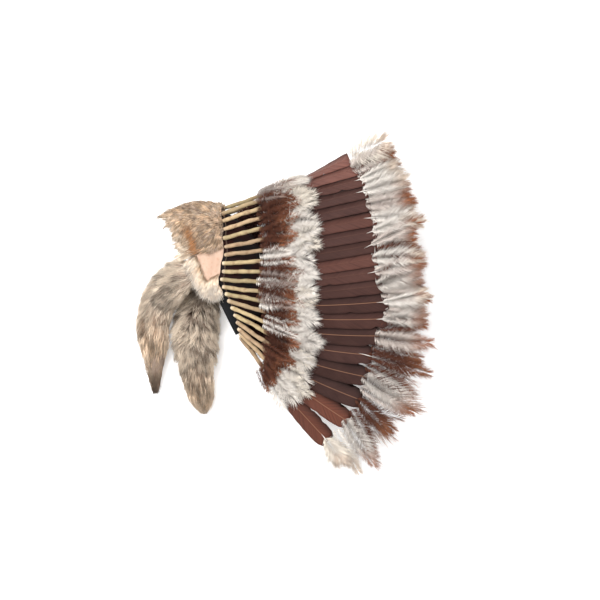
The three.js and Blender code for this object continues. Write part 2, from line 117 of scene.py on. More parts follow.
def closed_tube(rings, ends):
    """Points and triangles of a tube through rings of points, closed by a fan round a point at each end."""
    rows, columns = rings.shape[:2]
    quads = grid_faces(rows, columns, closed=True)
    j = np.arange(columns)
    ahead = (j + 1) % columns
    last = (rows - 1) * columns
    first_end = np.full(columns, rows * columns)
    fans = [np.stack([ahead, j, first_end], -1), np.stack([last + j, last + ahead, first_end + 1], -1)]
    faces = np.concatenate([quads[:, [0, 1, 2]], quads[:, [0, 2, 3]], *fans])
    return np.concatenate([rings.reshape(-1, 3), ends]), faces


def new_piece(name, shape, material, surface_uv=None):
    """A mesh object on the root body.

    shape holds its points, its faces and, where it has them, a tint for each point. surface_uv is the place
    of each point on the surface, in metres.
    """
    points, faces, *tints = shape
    mesh = bpy.data.meshes.new(name)
    mesh.vertices.add(len(points))
    mesh.vertices.foreach_set("co", points.ravel())
    mesh.loops.add(faces.size)
    mesh.loops.foreach_set("vertex_index", faces.ravel().astype(np.int32))
    mesh.polygons.add(len(faces))
    mesh.polygons.foreach_set("loop_start", np.arange(0, faces.size, faces.shape[1], dtype=np.int32))
    mesh.polygons.foreach_set("use_smooth", np.ones(len(faces), bool))
    for tint in tints:
        colour = np.concatenate([tint, np.ones((len(points), 1))], 1)
        mesh.attributes.new("tint", "FLOAT_COLOR", "POINT").data.foreach_set("color", colour.ravel())
    if surface_uv is not None:
        corner_uv = surface_uv[faces.ravel()]
        mesh.uv_layers.new(name="surface").data.foreach_set("uv", corner_uv.ravel())
    mesh.update(calc_edges=True)
    mesh.materials.append(material)
    piece = bpy.data.objects.new(name, mesh)
    bpy.context.collection.objects.link(piece)
    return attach(piece, "root")


class Value:
    """A shader socket. Sums, products and the like of it add Math nodes."""

    def __init__(self, finish, socket):
        self.finish = finish
        self.socket = socket

    def math(self, operation, other, swapped=False):
        """A Math node of this value and other, with other first where swapped."""
        pair = (other, self) if swapped else (self, other)
        return self.finish.node("ShaderNodeMath", {"operation": operation}, *pair)

    def __add__(self, other):
        return self.math("ADD", other)

    def __radd__(self, other):
        return self.math("ADD", other, True)

    def __sub__(self, other):
        return self.math("SUBTRACT", other)

    def __rsub__(self, other):
        return self.math("SUBTRACT", other, True)

    def __mul__(self, other):
        return self.math("MULTIPLY", other)

    def __abs__(self):
        return self.finish.node("ShaderNodeMath", {"operation": "ABSOLUTE"}, self)

    def between(self, low, high):
        """0 below low, 1 above high and a smooth step from one to the other."""
        settings = {"interpolation_type": "SMOOTHSTEP"}
        return self.finish.node("ShaderNodeMapRange", settings, self, low, high, 0.0, 1.0)


class Finish:
    """A material on a Principled shader, built up from the nodes that its methods add."""

    def __init__(self, name, **constants):
        self.material = bpy.data.materials.new(name)
        self.material.use_nodes = True
        self.tree = self.material.node_tree
        self.shader = self.tree.nodes["Principled BSDF"]
        for socket, value in constants.items():
            self.shader.inputs[socket.replace("_", " ").title()].default_value = value

    def node(self, kind, settings, *values, output=0, **named):
        """A new node, its settings first, then the values or links of its sockets by number or by name."""
        made = self.tree.nodes.new(kind)
        for setting, value in settings.items():
            setattr(made, setting, value)
        for key, value in [*enumerate(values), *named.items()]:
            if isinstance(value, Value):
                self.tree.links.new(value.socket, made.inputs[key])
            elif value is not None:
                made.inputs[key].default_value = value
        return Value(self, made.outputs[output])

    def place(self):
        """Object coordinates, in metres."""
        return self.node("ShaderNodeTexCoord", {}, output="Object")

    def noise(self, scale, detail=3.0, vector=None):
        """A noise pattern with about scale lumps to a metre."""
        return self.node("ShaderNodeTexNoise", {}, Vector=vector or self.place(), Scale=scale, Detail=detail)

    def mix(self, share, *colours):
        """The Mix node, whose two colour sockets come after five of other kinds."""
        colours = [colour if isinstance(colour, Value) else (*colour, 1.0) for colour in colours]
        return self.node("ShaderNodeMix", {"data_type": "RGBA"}, share, *[None] * 5, *colours, output=2)

    def tint(self):
        """The colour that each point of the mesh holds."""
        return self.node("ShaderNodeAttribute", {"attribute_name": "tint"})

    def done(self, colour, roughness=None, bump=None, depth=0.001, strength=0.5):
        """Links what varies to the shader, bump through a Bump node, and gives the material."""
        if bump:
            bump = self.node("ShaderNodeBump", {}, Strength=strength, Distance=depth, Height=bump)
        for name, value in (("Base Color", colour), ("Roughness", roughness), ("Normal", bump)):
            if value:
                self.tree.links.new(value.socket, self.shader.inputs[name])
        return self.material


def felt_finish():
    """Black felt with a fine fuzz, worn to maroon in patches towards the crown."""
    felt = Finish("black_felt", roughness=0.95, specular_tint=(0.3, 0.3, 0.3, 1.0))
    fuzz = felt.noise(900.0, 4.0)
    patches = felt.noise(28.0, 3.0).between(0.35, 0.65)
    along = felt.node("ShaderNodeSeparateXYZ", {}, felt.place())
    crownward = along.between(float(RIM[0]) + 0.006, float(RIM[0]) + 0.028)
    colour = felt.mix(crownward * patches * 0.8 + crownward * 0.15, FELT_BLACK, FELT_MAROON)
    return felt.done(colour, bump=fuzz, depth=0.0006, strength=0.6)


def skull_cap():
    """One skin from the crown down the outside, round the rim and up the inside, sagging in soft waves."""
    rows, columns = 28, 112
    rise = np.linspace(0, 88.5, rows)[:, None]
    q = np.linspace(0, 360, columns, endpoint=False)[None, :]
    sag = 0.0009 * np.sin(np.radians(3 * q + 40)) * np.sin(np.radians(2 * rise)) - 0.0009
    outer, _ = on_cap(q, rise, sag)
    inner, _ = on_cap(q, rise, sag - FELT)
    collar = [outer[:1] - [COLLAR, 0, 0], inner[:1] - [COLLAR, 0, 0]]
    skin = np.concatenate([outer[::-1], *collar, inner])
    return new_piece("felt_cap", closed_tube(skin, [skin[0].mean(0), skin[-1].mean(0)]), felt_finish())


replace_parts(skull_cap(), "skull_cap")

# Thirty-six feathers stand round the cap, nineteen on the near side and seventeen under it. Each quill is
# wrapped in soft hide, rolled and glued into a tube, and a thong through the feet of the tubes laces them
# together. The wraps fan out from the cap, close at the nape and wider at the brow.
WRAP_RADIUS = 0.0042
WRAP_LENGTH = 0.072
THONG_INSET = 0.005  # from the foot of each wrap
THONG_RADIUS = 0.001
FAN_CENTRE = RIM + np.array([-0.072, 0.097, 0.0])
FAN_REACH = 0.472
RING_LOW, RING_HIGH = 0.013, 0.137  # heights of the lowest and the highest vane's end
NEAR, FAR = 1, -1
NAPE = 18
WRAP_BEND = 0.3
PALE_FEET_FROM = 7  # the wraps from here to the nape have a pale foot
HIDE_TAN = (0.36, 0.245, 0.145)
HIDE_PALE = (0.62, 0.51, 0.38)
HIDE_OLIVE = (0.33, 0.26, 0.135)
HIDE_DARK = (0.2, 0.11, 0.06)

# One side's feathers from the brow to the nape: where the wrap's foot is on the cap, in shares of its half
# length and of its depth, the wrap's angle, the vane end's angle and reach from the fan's centre, and the
# length of the tip plume.
FEATHERS = np.array([
    (0.74, 0.672, 7.0, 3.2, 0.805, 0.94),
    (0.674, 0.598, 6.0, 6.5, 0.815, 0.95),
    (0.573, 0.579, 6.5, 9.7, 0.832, 0.88),
    (0.46, 0.54, 8.5, 12.9, 0.83, 0.96),
    (0.347, 0.467, 11.0, 16.2, 0.832, 0.97),
    (0.225, 0.431, 14.0, 19.9, 0.845, 0.95),
    (0.122, 0.371, 18.0, 23.3, 0.846, 0.9),
    (0.028, 0.28, 22.0, 26.6, 0.842, 0.97),
    (-0.075, 0.22, 26.0, 29.9, 0.846, 1.0),
    (-0.165, 0.135, 29.0, 33.1, 0.862, 1.0),
    (-0.272, 0.11, 32.5, 36.3, 0.88, 1.0),
    (-0.375, 0.1, 37.0, 39.7, 0.915, 0.92),
    (-0.478, 0.09, 42.0, 43.5, 0.93, 0.93),
    (-0.585, 0.088, 48.0, 47.8, 0.925, 1.0),
    (-0.693, 0.08, 54.0, 52.5, 0.93, 1.1),
    (-0.798, 0.068, 60.0, 57.3, 0.955, 1.08),
    (-0.888, 0.04, 65.0, 62.2, 0.985, 1.0),
    (-0.96, 0.02, 70.0, 67.5, 1.0, 0.98),
    (-1.0, 0.0, 78.0, 73.5, 1.0, 0.82),
])


def feather_row(k):
    """The table's row at k, or between two rows, with the foot's place as angles on the cap."""
    seat, rise, wrap, fan, reach, plume = (np.interp(k, np.arange(NAPE + 1), column) for column in FEATHERS.T)
    rise = np.degrees(np.arcsin(rise))
    round_by = np.degrees(np.arccos(np.clip(seat / np.cos(np.radians(rise)), -1, 1)))
    return round_by, rise, wrap, fan, reach, plume


def in_plan(degrees):
    """The level direction (cos, -sin, 0) of an angle that turns from the crown to the nape."""
    angle = np.radians(degrees)
    return np.array([np.cos(angle), -np.sin(angle), 0.0])


def feather_line(side, k):
    """Foot and direction of a quill's wrap, and the three points of the vane's curve beyond it."""
    round_by, rise, wrap, fan, reach, _ = feather_row(k)
    foot = on_cap(side * round_by, rise, WRAP_RADIUS + SEAT_GAP)[0]
    end = FAN_CENTRE + in_plan(fan) * FAN_REACH * reach
    lift = 1 if side == NEAR else 0
    share = np.sin(np.pi * (k + lift) / (NAPE + 2 * lift))
    end[2] = mix(RING_LOW, RING_HIGH, (1 + side * share) / 2)
    along = in_plan(wrap)
    along[2] = (end[2] - foot[2]) / np.hypot(*(end - foot)[:2])
    along = unit(along)
    start = foot + along * (WRAP_LENGTH + SEAT_GAP)
    bend = start + along * WRAP_BEND * np.linalg.norm(end - start)
    return foot, along, np.array([start, bend, end])


def wrap_feet_rise(round_by):
    """The rise on the cap at which the wraps' feet stand, at an angle round it from the brow."""
    rows = np.array([feather_row(k)[:2] for k in range(NAPE + 1)])
    return np.interp(np.abs(round_by), rows[:, 0], rows[:, 1])


def tube(path, radii, sides, reference):
    """A closed tube along path: rings of radius radii across its tangent, and a point at each end."""
    tangent = unit(np.gradient(path, axis=0))
    across = unit(np.cross(tangent, reference))
    over = np.cross(tangent, across)
    angle = np.linspace(0, 2 * np.pi, sides, endpoint=False)
    radii = np.broadcast_to(np.asarray(radii, float), (len(path), sides))
    rings = path[:, None] + radii[..., None] * (
        across[:, None] * np.cos(angle)[:, None] + over[:, None] * np.sin(angle)[:, None]
    )
    return closed_tube(rings, path[[0, -1]])


def joined(parts):
    """Points, faces and tints of several meshes as one."""
    points, faces, tints = zip(*parts)
    starts = np.cumsum([0] + [len(some) for some in points[:-1]])
    faces = [some + start for some, start in zip(faces, starts)]
    return tuple(np.concatenate(column) for column in (points, faces, tints))


def wrap_hide_finish():
    """The wraps' own tint in paler and darker patches, creased and grainy."""
    hide = Finish("wrap_hide", roughness=0.8)
    grain = hide.noise(420.0, 5.0)
    creases = hide.noise(150.0, 3.0)
    worn = hide.node("ShaderNodeVectorMath", {"operation": "SCALE"}, hide.tint(), Scale=1.5)
    colour = hide.mix(hide.noise(95.0, 2.0).between(0.4, 0.75) * 0.6, hide.tint(), worn)
    colour = hide.mix(hide.noise(120.0, 4.0).between(0.48, 0.7) * 0.65, colour, HIDE_DARK)
    return hide.done(colour, bump=grain * 0.4 + creases * 0.6, depth=0.0014, strength=0.9)


def quill_wrap(side, k):
    """A tube of hide whose radius swells and pinches a little, with a lapped seam and a rounded foot."""
    foot, along, _ = feather_line(side, k)
    length = WRAP_LENGTH - 0.0002
    at = np.concatenate([[0, 0.006, 0.018, 0.045], np.linspace(0.09, 0.94, 16), [0.975, 0.992, 1]])
    path = foot + along * (at * length)[:, None]
    phase = random.uniform(0, 2 * np.pi, 5)
    aside = unit(np.cross(along, [0, 0, 1.0]))
    crook = np.sin(np.pi * at) * (0.0008 * np.sin(4 * at + phase[3]) + 0.0004 * np.sin(11 * at + phase[4]))
    path = path + aside * crook[:, None]
    sides = 14
    angle = np.linspace(0, 2 * np.pi, sides, endpoint=False)
    swell = 0.93 - 0.09 * np.abs(np.sin(8 * at + phase[0])) + 0.05 * np.sin(25 * at + phase[1])
    round_end = np.sqrt(1 - np.clip(1 - at / 0.045, 0, 1) ** 2 * 0.75) * (1 - 0.16 * smooth_step(0.96, 1, at))
    seam = 1 - 0.12 * np.exp(-(((angle - phase[2] + np.pi) % (2 * np.pi) - np.pi) / 0.3) ** 2)
    radii = WRAP_RADIUS * (swell * round_end)[:, None] * seam
    points, faces = tube(path, radii, sides, np.array([0.3, 0.2, 1.0]))
    shade = mix(np.array(HIDE_TAN), np.array(HIDE_OLIVE), random.random() ** 1.5) * random.uniform(0.72, 1.2)
    pale = smooth_step(0.09, 0.0, at) * (0.75 if k >= PALE_FEET_FROM else 0.2)
    dusk = smooth_step(0.82, 1.0, at) * 0.45
    tint = mix(mix(shade, np.array(HIDE_PALE) * 1.1, pale[:, None]), np.array(HIDE_DARK), dusk[:, None])
    tint = np.concatenate([np.repeat(tint, sides, 0), tint[:1], tint[-1:]])
    return points, faces, tint


def lacing(side, first, last):
    """A thin thong that runs through the feet of the wraps, as a smooth curve with six points a gap."""
    laced = []
    for k in np.linspace(first, last, 6 * (last - first) + 1):
        foot, along, _ = feather_line(side, k)
        laced.append(foot + along * THONG_INSET)
    points, faces = tube(np.array(laced), THONG_RADIUS, 8, np.array([1.0, 0.1, 0.2]))
    return points, faces, np.tile(np.array(HIDE_DARK) * 0.2, (len(points), 1))


wrap_hide = wrap_hide_finish()
for name, side, first, last in (("near", NEAR, 0, NAPE), ("far", FAR, 1, NAPE - 1)):
    parts = [quill_wrap(side, k) for k in range(first, last + 1)] + [lacing(side, first, last)]
    wraps = new_piece(f"wrapped_quills_{name}", joined(parts), wrap_hide)
    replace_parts(wraps, f"quill_wraps_{name}")

# The vanes are the long dark brown flight feathers of a big bird. A pale shaft runs down the middle of
# each, its two webs curve away from it, and their barbs slant to the tip. Each vane laps the next one like
# a louvre, and here and there its barbs have parted.
VANE_WIDTH = 0.038
VANE_LAP = 1.22
VANE_THICKNESS = 0.0009
SHAFT_HEIGHT = 0.0011
CAMBER = 0.0021
LOUVRE = 10.0
SHAFTS_SHOW_FROM = 11  # the vanes from here to the nape show a pale shaft
VANE_BROWN = np.array((0.034, 0.0146, 0.0118))
# Rose tint of the painted highlight on the brow's first vanes.
VANE_ROSE_HIGHLIGHT = np.array((0.19, 0.078, 0.06))
VANE_RED = np.array((0.088, 0.028, 0.0165))
SHAFT_PALE = (0.26, 0.13, 0.075)
VANE_OUTLINE = ((0, 0.1, 0.3, 0.55, 0.85, 0.96, 1), (0.14, 0.3, 0.62, 0.9, 1, 0.94, 0.7))


def vane_point(side, k, t):
    """Points of the vane's quadratic curve at shares t."""
    start, bend, end = feather_line(side, k)[2]
    t = np.asarray(t, float)[..., None]
    return (1 - t) ** 2 * start + 2 * t * (1 - t) * bend + t**2 * end


def ring_frame(side, k, t, turn=0.0):
    """Tangent, direction across and outer side of feather k at shares t, leaning turn degrees to the brow."""
    start, bend, end = feather_line(side, k)[2]
    share = np.asarray(t, float)[..., None]
    tangent = unit((1 - share) * (bend - start) + share * (end - bend))
    ahead = vane_point(side, min(k + 0.5, NAPE), t) - vane_point(side, max(k - 0.5, 0), t)
    face = unit(np.cross(ahead, tangent) * side)
    angle = np.radians(-side * turn)
    face = face * np.cos(angle) + np.cross(tangent, face) * np.sin(angle)
    return tangent, np.cross(tangent, face), face


def pitch(side, k, t):
    """Distance from a feather to the nearer of those beside it."""
    here = vane_point(side, k, t)
    beside = [vane_point(side, n, t) for n in (k - 1, k + 1) if 0 <= n <= NAPE]
    return np.min([np.linalg.norm(there - here, axis=-1) for there in beside], axis=0)


def vane_finish():
    """The vanes' own tint, streaked and ridged along the slant of the barbs, and the pale shaft."""
    vane = Finish("feather_vane", roughness=0.5, specular_tint=(0.35, 0.3, 0.3, 1.0))
    place = vane.node("ShaderNodeUVMap", {"uv_map": "surface"})
    across = abs(vane.node("ShaderNodeSeparateXYZ", {}, place, output=0))
    along = vane.node("ShaderNodeSeparateXYZ", {}, place, output=1)
    slant = along - across * 1.3
    barb_place = vane.node("ShaderNodeCombineXYZ", {}, slant * 60.0, across * 4.0, 0.0)
    streaks = vane.noise(6.0, 4.0, vector=barb_place)
    barbs = vane.node("ShaderNodeMath", {"operation": "SINE"}, slant * (2 * math.pi / 0.0011))
    blotches = vane.noise(34.0, 3.0).between(0.35, 0.7)
    shows = vane.node("ShaderNodeAttribute", {"attribute_name": "shaft"}, output=2)
    colour = vane.mix(streaks.between(0.35, 0.72) * 0.5, vane.tint(), (0.017, 0.007, 0.0062))
    colour = vane.mix(blotches * 0.12, colour, (0.1, 0.047, 0.037))
    colour = vane.mix((1 - across.between(0.0003, 0.0008)) * shows, colour, SHAFT_PALE)
    height = barbs * 0.25 + streaks
    return vane.done(colour, roughness=0.42 + streaks * 0.25, bump=height, depth=0.0005, strength=0.6)


def vane(side, k):
    """Two webs on a shaft: a thin closed sheet over shares along and across, cambered by across squared."""
    rows = 30
    across_shares = np.array([-1, -0.8, -0.5, -0.2, -0.06, -0.02, 0.02, 0.06, 0.2, 0.5, 0.8, 1])
    t = np.linspace(0.0, 1.0, rows)
    half = np.minimum(VANE_WIDTH * np.interp(t, *VANE_OUTLINE), VANE_LAP * pitch(side, k, t)) / 2
    ragged = 1 - 0.04 * random.random((rows, 2))
    for _ in range(3):
        ragged[random.integers(8, rows - 2), random.integers(0, 2)] -= random.uniform(0.06, 0.18)
    s = across_shares[None, :]
    edge = np.where(s < 0, ragged[:, :1], ragged[:, 1:])
    wide = half[:, None] * s * mix(1.0, edge, np.abs(s) ** 3)
    _, across, face = ring_frame(side, k, t, LOUVRE)
    shaft = SHAFT_HEIGHT * np.exp(-((wide / 0.0009) ** 2)) * (1.15 - 0.8 * t[:, None])
    ripple = 0.0003 * np.sin(60 * t[:, None] + 5 * s + 2.1 * k) * np.abs(s)
    height = -CAMBER * s**2 * (half[:, None] / (VANE_WIDTH / 2)) + ripple
    middle = vane_point(side, k, t)[:, None]

    def layer(offset):
        """The cambered surface, offset along its outer side."""
        return middle + across[:, None] * wide[..., None] + face[:, None] * (height + offset)[..., None]

    trim = VANE_THICKNESS / 2 * (1 - 0.6 * np.abs(s) ** 2)
    points = np.concatenate([layer(trim + shaft).reshape(-1, 3), layer(-trim - 0.6 * shaft).reshape(-1, 3)])
    # Painted highlight: the first vanes at the brow are made rose and much lighter, standing in for the light
    # that they catch.
    rose_highlight = max(0.0, 1 - k / 1.6) * 0.9
    red = 1.0 if k >= NAPE - 1 else 0.22 * random.random()
    base = mix(mix(VANE_BROWN, VANE_ROSE_HIGHLIGHT, rose_highlight), VANE_RED, red) * random.uniform(0.55, 1.6)
    # Painted shade: each vane is darker towards its edge on the nape's side, the shade that falls along each
    # lap of the louvre.
    nape_edge_shade = smooth_step(0.2, 1.0, -s if side == NEAR else s)
    tint = base * (0.9 + 0.25 * smooth_step(0.3, 1.0, t))[:, None, None] * (1.15 - 0.8 * nape_edge_shade)[..., None]
    tint = np.concatenate([tint.reshape(-1, 3)] * 2)
    # Each vane, about 0.2 m long, has its own part of the pattern.
    uv = np.stack([wide, np.broadcast_to(t[:, None] * 0.2 + 0.3 * k, wide.shape)], -1).reshape(-1, 2)
    uv = np.concatenate([uv, uv])
    faces = sheet_faces(rows, len(across_shares))
    if side == NEAR:
        faces = faces[:, ::-1]
    name = "near" if side == NEAR else "far"
    piece = new_piece(f"vane_{name}_{k:02d}", (floored(points), faces, tint), feather_vane, uv)
    shows = np.full(len(points), 0.65 if k >= SHAFTS_SHOW_FROM else 0.08)
    piece.data.attributes.new("shaft", "FLOAT", "POINT").data.foreach_set("value", shows)
    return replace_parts(piece, f"feather_{name}_{k:02d}")


feather_vane = vane_finish()
for k in range(NAPE + 1):
    vane(NEAR, k)
    if 0 < k < NAPE:
        vane(FAR, k)

# Small soft body feathers are tied over the feet of the vanes, dark brown ones on top of longer white ones,
# and more of them are glued to the tip of each vane. Each has a thin shaft with loose barbs on both sides,
# which stand out more the nearer they are to its foot.
DOWN_WHITE = np.array((0.97, 0.915, 0.85))
DOWN_CREAM = np.array((0.95, 0.86, 0.73))
DOWN_GREY = np.array((0.6, 0.51, 0.45))
DOWN_BROWN = np.array((0.12, 0.042, 0.024))
DOWN_RUST = np.array((0.42, 0.165, 0.08))
DOWN_DARK = np.array((0.035, 0.014, 0.011))
BARB_RADIUS = 0.0004


def spindles(paths, radii):
    """Closed three-sided strands through paths: a point at the root, a ring at each inner place and a tip.

    paths is an array of strand, place and coordinate, and radii one of strand and inner place.
    """
    strands, places = paths.shape[:2]
    tangent = unit(paths[:, 2:] - paths[:, :-2])
    across = unit(np.cross(tangent, unit(random.normal(size=(strands, 1, 3)))))
    over = np.cross(tangent, across)
    angle = np.array([0, 2, 4]) * np.pi / 3
    rings = paths[:, 1:-1, None] + radii[:, :, None, None] * (
        across[:, :, None] * np.cos(angle)[:, None] + over[:, :, None] * np.sin(angle)[:, None]
    )
    count = places - 2
    points = np.concatenate([paths[:, :1], rings.reshape(strands, 3 * count, 3), paths[:, -1:]], 1)
    i = np.arange(3)
    ahead = (i + 1) % 3
    faces = [np.stack([np.zeros(3, int), 1 + ahead, 1 + i], -1)]
    for ring in range(count - 1):
        a, b = 1 + 3 * ring + i, 1 + 3 * ring + ahead
        faces += [np.stack([a, b, b + 3], -1), np.stack([a, b + 3, a + 3], -1)]
    last = 1 + 3 * (count - 1)
    faces.append(np.stack([last + i, last + ahead, np.full(3, 3 * count + 1)], -1))
    faces = np.concatenate(faces)
    size = 3 * count + 2
    return points.reshape(-1, 3), (faces[None] + size * np.arange(strands)[:, None, None]).reshape(-1, 3)


def spread_tint(tint):
    """Tints of each place of a strand as tints of its points: one for root and tip, three for each ring."""
    repeats = np.array([1] + [3] * (tint.shape[1] - 2) + [1])
    return np.repeat(tint, repeats, axis=1).reshape(-1, 3)


def soft_feathers(feet, aims, faces, lengths, widths, pointed, colours, barbs, radius=BARB_RADIUS, skew=0.0):
    """Barbs of many small feathers at once, as points, faces and tints.

    A barb leaves the shaft at share s. Its angle from the shaft falls from 102 degrees at the foot to 30 at
    the end of a round feather, and from 42 to 22 on a pointed one. colours holds for each feather its main
    colour, that of its end, that of the barbs' roots and how strongly the latter shows. skew is by what share
    the barbs on the nape's side of the shaft are longer and those on the brow's side are shorter.
    """
    count = len(feet)
    s = (np.arange(barbs) + random.random((count, barbs))) / barbs
    hand = np.where(np.arange(barbs) % 2, 1, -1)[None, :]
    aim, face = unit(aims)[:, None], unit(faces)[:, None]
    across = np.cross(face, aim)
    length, width, point = lengths[:, None], widths[:, None], pointed[:, None]
    arch = 0.045 * length * np.sin(np.pi * s)
    sway = random.normal(0, 0.07, (count, 1)) * length * s**2
    along = (length - 0.45 * width) * s
    shaft = feet[:, None] + aim * along[..., None] + face * arch[..., None] + across * sway[..., None]
    spread = random.normal(0, 1, (count, barbs)) * mix(5.5, 13 - 5 * point, s**3)
    open_angle = np.radians(mix(102 - 60 * point, 30 - 8 * point, s**1.1) + spread)
    round_one = 0.75 + 0.25 * np.sin(np.pi * np.minimum(1.15 * s, 1))
    profile = mix(round_one, smooth_step(-0.15, 0.55, s), point) * (1 - 0.3 * s**4)
    reach = width / 2 * profile * random.uniform(0.74, 1.12, (count, barbs))
    reach = reach * (1 + np.reshape(skew, (-1, 1)) * hand)
    tilt = random.normal(0.06, 0.2, (count, barbs))
    aside = across * (hand * np.cos(tilt))[..., None] + face * np.sin(tilt)[..., None]
    way = aim * np.cos(open_angle)[..., None] + aside * np.sin(open_angle)[..., None]
    bend = aim * 0.2 - face * 0.08 + random.normal(0, 0.075, (count, barbs, 3))
    places = np.array([0, 0.5, 1.0])
    paths = shaft[:, :, None] + reach[..., None, None] * (
        way[:, :, None] * places[:, None] + bend[:, :, None] * (places**2)[:, None]
    )
    main, end, root, shown = colours
    to_end = smooth_step(0.6, 1.0, s[..., None] + 0.2 * places)[..., None]
    tint = mix(main[:, None, None], end[:, None, None], to_end)
    near_shaft = (1 - smooth_step(0.0, 0.9, places))[None, None] * shown[:, None, None]
    near_shaft = near_shaft * random.uniform(0.3, 1.0, (count, barbs, 1))
    tint = mix(tint, root[:, None, None], near_shaft[..., None])
    tint = tint * random.uniform(0.88, 1.04, (count, barbs, 1, 1))
    radii = radius * random.uniform(0.7, 1.3, (count * barbs, 1))
    points, triangles = spindles(floored(paths.reshape(-1, 3, 3)), radii)
    return points, triangles, spread_tint(tint.reshape(-1, 3, 3))


def shafts(feet, aims, faces, lengths, colour):
    """The bare pale foot of each small feather and the start of its shaft."""
    share = np.array([-0.12, 0.0, 0.1, 0.25])
    arch = 0.045 * np.sin(np.pi * np.clip(share, 0, 1))
    aim, face = unit(aims)[:, None], unit(faces)[:, None]
    paths = feet[:, None] + lengths[:, None, None] * (aim * share[:, None] + face * (arch[:, None] + 0.004))
    radii = np.tile([0.0007, 0.00035], (len(feet), 1))
    points, triangles = spindles(floored(paths), radii)
    return points, triangles, spread_tint(np.broadcast_to(colour, (len(feet), 4, 3)))


def down_finish(name):
    """The barbs' own tint, a little duller in patches."""
    down = Finish(name, roughness=0.9, specular_tint=(0.3, 0.3, 0.3, 1.0))
    shade = down.noise(220.0, 3.0).between(0.4, 0.8)
    return down.done(down.mix(shade * 0.08, down.tint(), (0.3, 0.25, 0.21)))


def lying(side, spots, shares, turns, lifts):
    """Feet, directions and outer sides of small feathers that lie on the vanes of one side.

    spots is where round the ring each one is, shares how far along its vane its foot is, turns its angle
    from the vane towards the nape and lifts its height over the middle of the vane.
    """
    feet, aims, outs = [], [], []
    for k, t, turn, lift in zip(spots, shares, turns, lifts):
        k = float(np.clip(k, 0, NAPE))
        tangent, across, face = ring_frame(side, k, t)
        angle = np.radians(turn)
        feet.append(vane_point(side, k, t) + face * lift)
        aims.append(tangent * np.cos(angle) + across * np.sin(angle))
        outs.append(face)
    return np.array(feet), np.array(aims), np.array(outs)


# The base plumes are white down in two rows over the feet of the vanes, and two rows of brown body feathers
# tied on top of it, by the wraps. The chart says how brown those are from the brow to the nape, where 0 is
# white: brown at both ends, and in small clumps between them.
BASE_BROWN_AT = (0, 0.8, 1.6, 6.0, 6.3, 7.2, 7.5, 8.4, 8.7, 9.3,
                 9.5, 10.4, 10.7, 11.2, 11.4, 12.2, 12.4, 13.0, 13.2, 18)
BASE_BROWN = (0.6, 0.65, 1, 1, 0, 0, 1, 1, 0, 0, 1, 1, 0, 0, 1, 1, 0, 0, 1, 1)
CLUMPS_FROM, CLUMPS_TO = 6, 14
INNER_BARB_RADIUS = 0.0011


def white_down(side, low, high, count, shares, lengths, widths, barbs):
    """A row of white feathers, evenly spaced and then shifted and turned at random, some cream, some grey."""
    feet, aims, outs = lying(
        side, np.linspace(low, high, count) + random.normal(0, 0.12, count), random.uniform(*shares, count),
        random.normal(0, 11, count), random.uniform(0.003, 0.006, count),
    )
    kinds = random.random((count, 1))
    grey = smooth_step(0.75, 1, kinds) * 0.3
    main = mix(mix(DOWN_WHITE, DOWN_GREY, grey), DOWN_CREAM, smooth_step(0.45, 0, kinds) * 0.7)
    root = np.tile(DOWN_GREY * 0.55, (count, 1))
    return soft_feathers(
        feet, aims, outs, random.uniform(*lengths, count), random.uniform(*widths, count),
        0.3 * random.random(count), (main, main, root, random.uniform(0.15, 0.75, count)), barbs,
    )


def brown_feathers(side, low, high, count, shares, lift, lengths, widths, barbs):
    """A row by the chart. Its feathers are turned less where the clumps are small, so they stay together."""
    spots = np.linspace(low, high, count)
    brown = np.interp(spots, BASE_BROWN_AT, BASE_BROWN)[:, None]
    clumped = np.interp(spots, (CLUMPS_FROM, CLUMPS_FROM + 1, CLUMPS_TO - 1, CLUMPS_TO), (1, 0.35, 0.35, 1))
    feet, aims, outs = lying(
        side, spots, random.uniform(*shares, count), random.normal(0, 14, count) * clumped,
        random.uniform(lift, lift + 0.003, count),
    )
    dark = DOWN_BROWN * random.uniform(0.7, 1.5, (count, 1))
    rusty = mix(dark, DOWN_RUST, random.uniform(0.3, 1.0, (count, 1)))
    main, end = (mix(DOWN_WHITE, colour, smooth_step(0.2, 1, brown)) for colour in (dark, rusty))
    root = mix(DOWN_GREY, DOWN_DARK, smooth_step(0, 0.6, brown))
    nape_end = 1 - 0.3 * smooth_step(14.5, 16.5, spots)
    return soft_feathers(
        feet, aims, outs, random.uniform(*lengths, count) * nape_end,
        random.uniform(*widths, count) * mix(0.85, 1.0, brown[:, 0]),
        0.2 * random.random(count), (main, end, root, random.uniform(0.3, 0.9, count)), barbs,
    )


def base_plumes(name, side, low, high, count, barbs):
    """The two white rows and the two brown ones on top of them, as one piece."""
    parts = [
        white_down(side, low, high, count, (0.2, 0.3), (0.062, 0.08), (0.044, 0.056), barbs),
        white_down(side, low, high, count, (0.1, 0.18), (0.056, 0.07), (0.04, 0.052), barbs),
        brown_feathers(side, low, high, count, (0.02, 0.06), 0.006, (0.044, 0.08), (0.03, 0.038), barbs),
        brown_feathers(side, low, high, count, (-0.08, 0.0), 0.009, (0.046, 0.082), (0.03, 0.042), barbs),
    ]
    piece = new_piece(f"base_down_{name}", joined(parts), base_down)
    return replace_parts(piece, f"base_plumes_{name}")


base_down = down_finish("base_down")
base_plumes("near", NEAR, 0, NAPE, count=37, barbs=222)
base_plumes("far", FAR, 0.8, NAPE - 0.8, count=26, barbs=108)


